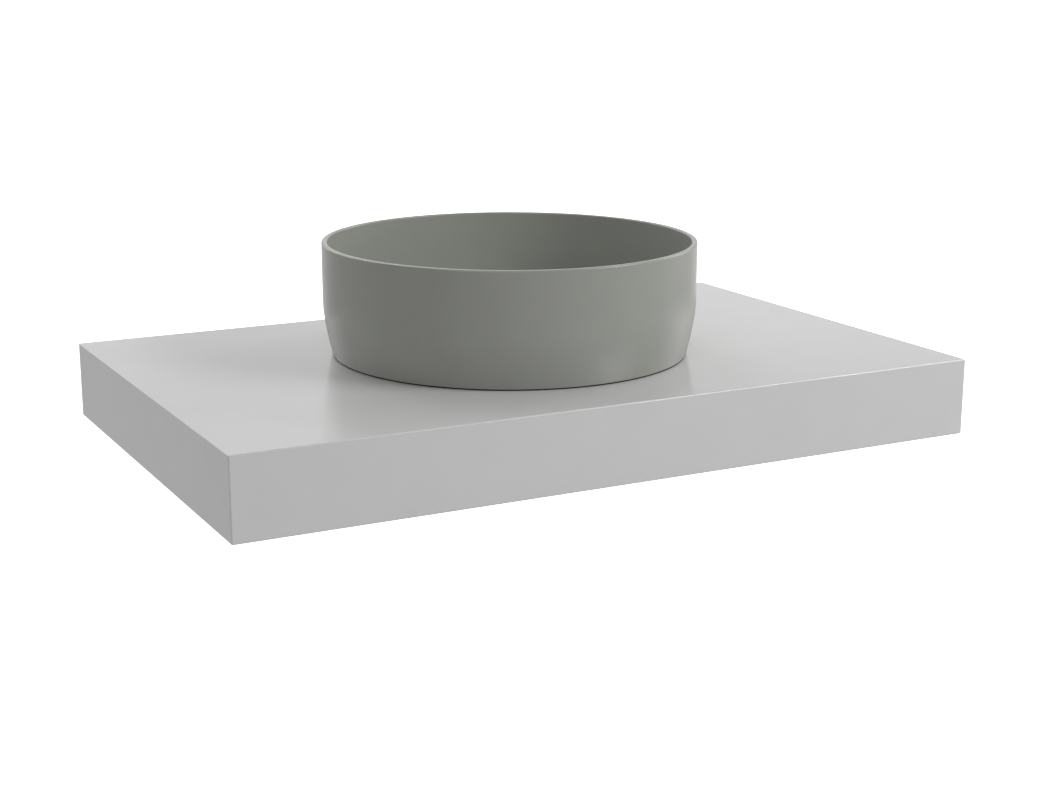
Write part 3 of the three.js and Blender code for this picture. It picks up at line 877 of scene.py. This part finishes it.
def recess_tools(length, width, depth):
    """Two crossed blades, tapering upwards, that cut a cross recess into a head at height 0."""
    length_taper, width_taper = 0.55, 0.7
    mouth = [(-length, -width), (length, -width), (length, width), (-length, width)]
    tools = []
    for turn in (0, 90):
        bm = bmesh.new()
        lower = [bm.verts.new((x, y, -0.1 * MM)) for x, y in mouth]
        upper = [bm.verts.new((x * length_taper, y * width_taper, depth)) for x, y in mouth]
        bm.faces.new(lower)
        bm.faces.new(upper)
        skin(bm, [lower, upper])
        bmesh.ops.rotate(bm, matrix=Matrix.Rotation(math.radians(turn), 3, "Z"), verts=bm.verts)
        tools.append(mesh_of("blade", bm))
    return tools


def screw_mesh(name, head_outline, shank, tip, thread_from, pitch, recess):
    """A wood screw with its head down at height 0 and its point up at height tip."""
    thread_to = tip - 0.6 * MM
    steps = int((tip - thread_from) / pitch * ROWS_PER_THREAD)
    outline = [(0, 0), *head_outline, (shank, thread_from - 0.2 * MM)]
    for k in range(steps + 1):
        outline.append((shank, thread_from + (thread_to - thread_from) * k / steps))
    outline.append((0, tip))

    def radius_at(r, z, angle):
        if z < thread_from or r < shank * 0.9:
            return r
        taper = min(1.0, max(POINT_SHARE, (tip - z) / POINT_LENGTH))
        depth = THREAD_SHARE * shank * min(1.0, (z - thread_from) / pitch)
        return (shank - depth * thread_wave(z, angle, pitch)) * taper

    blank = revolve(name, outline, segments=32, centre=Vector((0, 0, 0)), radius_at=radius_at)
    return combined(blank, *recess_tools(*recess))


def cover_screw_mesh():
    """A 3.5 mm countersunk screw."""
    shank = 1.75 * MM
    head = [
        (3.3 * MM, 0), (3.5 * MM, 0.2 * MM), (3.45 * MM, 0.4 * MM),
        (2.0 * MM, 2.15 * MM), (shank, 2.6 * MM),
    ]
    low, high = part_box("cover_screw_1")
    recess = (2.1 * MM, 0.42 * MM, 1.7 * MM)
    return screw_mesh("cover_screw_mesh", head, shank, high.z - low.z, 4.5 * MM, 1.6 * MM, recess)


def arm_screw_mesh():
    """A 4 mm pan-head screw."""
    shank = 2.0 * MM
    head_height = 2.5 * MM
    edge = [(r * MM, z * MM) for r, z in arc(2.6, 1.9, 1.9, -90, 0, 6)]
    head = [(shank, 0.0), *edge, (4.5 * MM, head_height), (shank, head_height)]
    low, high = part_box("arm_screw_left_1")
    recess = (2.4 * MM, 0.5 * MM, 1.6 * MM)
    return screw_mesh("arm_screw_mesh", head, shank, high.z - low.z, 5.5 * MM, 1.8 * MM, recess)


def add_screws():
    """Screws of one kind share a mesh, and each is turned differently."""
    for mesh, nodes in (
        (cover_screw_mesh(), COVER_SCREWS),
        (arm_screw_mesh(), [f"arm_screw_{side}_{i}" for side in SIDES for i in (1, 2)]),
    ):
        for number, node in enumerate(nodes):
            low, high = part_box(node)
            screw = bpy.data.objects.new("threaded_" + node, mesh)
            bpy.context.scene.collection.objects.link(screw)
            screw.location = ((low.x + high.x) / 2, (low.y + high.y) / 2, low.z)
            screw.rotation_euler.z = SCREW_TURN * number
            finish_piece(screw, zinc, CONSOLE, (node,))


# ------------------------------------------------------------------ bottom panel and carcass

CUTOUT_HALF = 80 * MM
CUTOUT_CORNER = 20 * MM
SINK_RADIUS = 3.75 * MM
SCREW_CLEARANCE = 2.05 * MM


def countersink(node, low, high):
    """A tool for the hole and countersink of the screw in that node."""
    screw_low, screw_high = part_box(node)
    outline = [
        (0, low - PAST), (SINK_RADIUS, low - PAST), (SINK_RADIUS, low + 0.1 * MM),
        (SCREW_CLEARANCE, low + 2 * MM), (SCREW_CLEARANCE, high + PAST), (0, high + PAST),
    ]
    return revolve("sink", outline, segments=32, centre=(screw_low + screw_high) / 2)


def add_bottom_panel():
    """The removable panel: lacquered below, raw board above and where it is sawn or drilled."""
    low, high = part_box("bottom_panel")
    blank = mesh_of("bottom_panel_mesh", block(low, high, 0.6 * MM, 3))
    opening = rounded_rectangle(
        -CUTOUT_HALF, CUTOUT_HALF, AXIS.y - CUTOUT_HALF, AXIS.y + CUTOUT_HALF, CUTOUT_CORNER, steps=12,
    )
    tools = [prism("hand_hole", opening, low.z - PAST, high.z + PAST)]
    tools += [countersink(node, low.z, high.z) for node in COVER_SCREWS]
    mesh = combined(blank, *tools)
    mesh.materials.append(lacquer)
    mesh.materials.append(raw_board)
    margin = 2 * MM
    for face in mesh.polygons:
        x, y, z = face.center
        inside = low.x + margin < x < high.x - margin and low.y + margin < y < high.y - margin
        sawn = inside and abs(face.normal.z) < 0.9
        face.material_index = 1 if sawn or z > high.z - 0.3 * MM else 0
    panel = new_piece(
        "service_bottom_panel", mesh, lacquer, CONSOLE, ("bottom_panel",),
    )
    weight_normals(panel)


def dress_cad_node(name, material, bevel):
    """A CAD node whose shape is right gets eased edges and its material."""
    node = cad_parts[name]
    node.data.materials.clear()
    node.data.materials.append(material)
    weld = node.modifiers.new("weld", "WELD")
    weld.merge_threshold = 0.01 * MM
    ease = node.modifiers.new("eased_edges", "BEVEL")
    ease.width = bevel
    ease.segments = 3
    ease.limit_method = "ANGLE"
    ease.angle_limit = math.radians(40)
    ease.harden_normals = True


def dress_carcass():
    boards = [f"rear_rail_{place}" for place in ("left", "centre", "right")]
    boards += [f"{side}_{place}_rib" for side in SIDES for place in ("outer", "inner")]
    boards += [f"corner_block_{side}" for side in SIDES]
    for name in boards:
        dress_cad_node(name, raw_board, 0.5 * MM)
    for side in SIDES:
        dress_cad_node(f"arm_pad_{side}", rubber, 0.4 * MM)
        dress_cad_node(f"arm_end_cap_{side}", plastic, 0.6 * MM)


# ------------------------------------------------------------------ concealed wall brackets

PLATE_THICKNESS = 6 * MM
PLATE_CORNER = 4 * MM
ARM_HALF_WIDTH = 10 * MM
ARM_HALF_HEIGHT = 20 * MM
ARM_CORNER = 2.5 * MM
ARM_WALL = 2 * MM
BOLT_OFFSET = 30 * MM
BOLT_HOLE = 5.5 * MM
DRIVER_HOLE = 6 * MM
SCREW_HOLE = 2.5 * MM

BEAD_RADIUS = 1.7 * MM
BEAD_RIPPLE = 0.16 * MM
BEAD_OFFSET = 0.6 * MM
BEAD_DEPTH = PLATE_THICKNESS + 0.4 * MM
BEAD_STEP = 0.4 * MM
STEPS_PER_RIPPLE = 4


def upright(mesh):
    """Stands a prism drawn in X and Z, and extruded by depth, so that depth runs along -Y."""
    mesh.transform(Matrix.Rotation(math.pi / 2, 4, "X"))
    return mesh


def bracket_mesh(side):
    """A bolt plate and a box arm, with the holes for bolts, screws and the screwdriver."""
    low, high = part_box(f"wall_bracket_{side}")
    x = (low.x + high.x) / 2
    depth = -low.y
    width, height = ARM_HALF_WIDTH, ARM_HALF_HEIGHT
    plate_outline = rounded_rectangle(low.x, high.x, low.z, high.z, PLATE_CORNER)
    plate = upright(prism("plate", plate_outline, 0, PLATE_THICKNESS))
    arm_outline = rounded_rectangle(x - width, x + width, -height, height, ARM_CORNER)
    arm = upright(prism("arm", arm_outline, PLATE_THICKNESS - 0.5 * MM, depth))
    hollow_outline = rounded_rectangle(
        x - width + ARM_WALL, x + width - ARM_WALL, ARM_WALL - height, height - ARM_WALL, 1 * MM,
    )
    tools = [upright(prism("hollow", hollow_outline, PLATE_THICKNESS + 0.5 * MM, depth + PAST))]
    for offset in (-BOLT_OFFSET, BOLT_OFFSET):
        tools.append(upright(cylinder_tool(x + offset, 0, -PAST, PLATE_THICKNESS + PAST, BOLT_HOLE)))
    for i in (1, 2):
        screw_low, screw_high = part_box(f"arm_screw_{side}_{i}")
        y = (screw_low.y + screw_high.y) / 2
        tools.append(cylinder_tool(x, y, -height - PAST, 0, DRIVER_HOLE))
        tools.append(cylinder_tool(x, y, 0, height + PAST, SCREW_HOLE))
    return combined(combined(plate, arm, operation="UNION"), *tools)


def bead_points(side):
    """Evenly spaced points round the arm's foot. Above the arm, where the top panel is close, they
    lie lower."""
    low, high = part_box(f"wall_bracket_{side}")
    x = (low.x + high.x) / 2
    width, bottom = ARM_HALF_WIDTH + BEAD_OFFSET, -ARM_HALF_HEIGHT - BEAD_OFFSET
    outline = rounded_rectangle(x - width, x + width, bottom, ARM_HALF_HEIGHT, 3 * MM, steps=4)
    corners = [Vector((px, -BEAD_DEPTH, pz)) for px, pz in outline]
    corners.append(corners[0])
    points = []
    for start, end in zip(corners, corners[1:]):
        steps = max(1, round((end - start).length / BEAD_STEP))
        points += [start.lerp(end, k / steps) for k in range(steps)]
    return points


def bead_mesh(side):
    """The fillet weld round the arm's foot, laid in overlapping ripples."""
    points = bead_points(side)
    bm = bmesh.new()
    rings = []
    wall_normal = Vector((0, -1, 0))
    for k, point in enumerate(points):
        ahead = (points[(k + 1) % len(points)] - points[k - 1]).normalized()
        outward = ahead.cross(wall_normal).normalized()
        radius = BEAD_RADIUS + BEAD_RIPPLE * math.sin(2 * math.pi * k / STEPS_PER_RIPPLE)
        rings.append(vertex_ring(bm, point, outward, wall_normal, radius, 8))
    skin(bm, [*rings, rings[0]])
    return mesh_of(f"weld_bead_{side}_mesh", bm, sharp_angle=80)


def add_brackets():
    for side in SIDES:
        bracket = new_piece(
            f"coated_bracket_{side}", bracket_mesh(side), powder_coat, CONSOLE,
            (f"wall_bracket_{side}",),
        )
        weight_normals(bracket)
        new_piece(f"weld_bead_{side}", bead_mesh(side), powder_coat, CONSOLE)


# ------------------------------------------------------------------ camera, light and stage

PHOTO_WIDTH = 1040
FOCAL_PIXELS = 1804.97
SENSOR = 36.0
CAMERA_PLACE = (-0.8582, -1.9099, 0.4555)
CAMERA_YAW, CAMERA_PITCH, CAMERA_ROLL = 27.54, 14.09, 0.055


def add_camera():
    data = bpy.data.cameras.new("camera")
    data.sensor_width = SENSOR
    data.lens = FOCAL_PIXELS / PHOTO_WIDTH * SENSOR
    data.clip_start = 0.05
    data.clip_end = 500
    camera = bpy.data.objects.new("camera", data)
    bpy.context.scene.collection.objects.link(camera)
    camera.location = CAMERA_PLACE
    yaw, pitch, roll = (math.radians(angle) for angle in (CAMERA_YAW, CAMERA_PITCH, CAMERA_ROLL))
    turn = Matrix.Rotation(-yaw, 4, "Z") @ Matrix.Rotation(math.pi / 2 - pitch, 4, "X")
    camera.rotation_mode = "QUATERNION"
    camera.rotation_quaternion = (turn @ Matrix.Rotation(roll, 4, "Z")).to_quaternion()
    bpy.context.scene.camera = camera


def add_softbox(name, place, target, size, power):
    data = bpy.data.lights.new(name, "AREA")
    data.shape = "RECTANGLE"
    data.size, data.size_y = size
    data.energy = power
    light = bpy.data.objects.new(name, data)
    bpy.context.scene.collection.objects.link(light)
    light.location = place
    aim = Vector(target) - Vector(place)
    light.rotation_mode = "QUATERNION"
    light.rotation_quaternion = aim.to_track_quat("-Z", "Y")


def direction(azimuth, elevation):
    """Points from the piece towards a place on the studio's walls. Azimuth 0 is right, 90 is behind."""
    turn, rise = math.radians(azimuth), math.radians(elevation)
    return Vector((math.cos(rise) * math.cos(turn), math.cos(rise) * math.sin(turn), math.sin(rise)))


# Broad soft glows on the studio's walls: azimuth, elevation, strength, tightness.
GLOWS = (
    (225, 25, 3.08, 30), (255, 25, 0.30, 30), (225, 45, 0.51, 30), (180, 45, 0.80, 30),
    (135, 25, 2.57, 30), (112, 18, 2.02, 60), (97, 14, 1.50, 60), (97, 22, 0.92, 60),
    (90, 45, 3.70, 30), (75, 12, 0.45, 60), (60, 8, 0.59, 30), (45, 68, 0.49, 30),
    (15, 25, 4.00, 30), (0, 8, 1.40, 30), (330, 8, 0.70, 30),
    (60, -18, 0.67, 5), (120, -18, 0.12, 5), (240, -18, 0.19, 5), (300, -18, 0.23, 5),
)
GROUND_GLOW = 0.302


def add_world():
    """The studio lights the piece with its glows, and is plain white behind it."""
    world = bpy.data.worlds.new("studio")
    world.use_nodes = True
    nodes, links = world.node_tree.nodes, world.node_tree.links

    def math_node(operation, first, second):
        node = nodes.new("ShaderNodeMath")
        node.operation = operation
        for socket, value in zip(node.inputs, (first, second)):
            if isinstance(value, (int, float)):
                socket.default_value = value
            else:
                links.new(value, socket)
        return node.outputs[0]

    outward = nodes.new("ShaderNodeTexCoord").outputs["Generated"]
    split = nodes.new("ShaderNodeSeparateXYZ")
    links.new(outward, split.inputs[0])
    total = math_node("MULTIPLY", math_node("LESS_THAN", split.outputs["Z"], 0.0), GROUND_GLOW)
    for azimuth, elevation, strength, tightness in GLOWS:
        towards = nodes.new("ShaderNodeVectorMath")
        towards.operation = "DOT_PRODUCT"
        links.new(outward, towards.inputs[0])
        towards.inputs[1].default_value = direction(azimuth, elevation)
        facing = math_node("MAXIMUM", towards.outputs["Value"], 0.0)
        glow = math_node("MULTIPLY", math_node("POWER", facing, tightness), strength)
        total = math_node("ADD", total, glow)
    lighting = nodes["Background"]
    lighting.inputs["Color"].default_value = (1, 1, 1, 1)
    links.new(total, lighting.inputs["Strength"])
    backdrop = nodes.new("ShaderNodeBackground")
    backdrop.inputs["Color"].default_value = (1, 1, 1, 1)
    choice = nodes.new("ShaderNodeMixShader")
    links.new(nodes.new("ShaderNodeLightPath").outputs["Is Camera Ray"], choice.inputs[0])
    links.new(lighting.outputs[0], choice.inputs[1])
    links.new(backdrop.outputs[0], choice.inputs[2])
    links.new(choice.outputs[0], nodes["World Output"].inputs["Surface"])
    bpy.context.scene.world = world


FLOOR_HEIGHT = -2.4
FLOOR_REACH = 120


def add_floor():
    """A plain white floor far below the wall-hung console. Its light is part of the studio's glow."""
    bm = bmesh.new()
    bmesh.ops.create_grid(bm, x_segments=2, y_segments=2, size=FLOOR_REACH)
    mesh = bpy.data.meshes.new("floor")
    bm.to_mesh(mesh)
    bm.free()
    material = bpy.data.materials.new("studio_floor")
    material.use_nodes = True
    surface = material.node_tree.nodes["Principled BSDF"]
    surface.inputs["Base Color"].default_value = (0.9, 0.9, 0.9, 1)
    surface.inputs["Emission Color"].default_value = (1, 1, 1, 1)
    surface.inputs["Emission Strength"].default_value = 1.0
    mesh.materials.append(material)
    floor = bpy.data.objects.new("floor", mesh)
    floor.location.z = FLOOR_HEIGHT
    floor.visible_diffuse = False
    floor.visible_glossy = False
    floor.visible_shadow = False
    bpy.context.scene.collection.objects.link(floor)


LIGHT_TARGET = Vector((0, -0.25, 0.05))
LIGHT_DISTANCE = 3.2

# Softboxes: name, azimuth, elevation, (width, height), watts.
SOFTBOXES = (
    ("key", -44.5, 31.6, (1.25, 0.5), 45.6),
    ("key_side", -60, 32, (1.1, 0.6), 12.2),
)

add_camera()
add_world()
add_floor()
for light, azimuth, elevation, size, power in SOFTBOXES:
    place = LIGHT_TARGET + direction(azimuth, elevation) * LIGHT_DISTANCE
    add_softbox(light, place, LIGHT_TARGET, size, power)
bpy.context.scene.view_settings.view_transform = "Standard"

add_shell()
add_basin()
add_waste()
add_cap()
add_screws()
add_bottom_panel()
dress_carcass()
add_brackets()
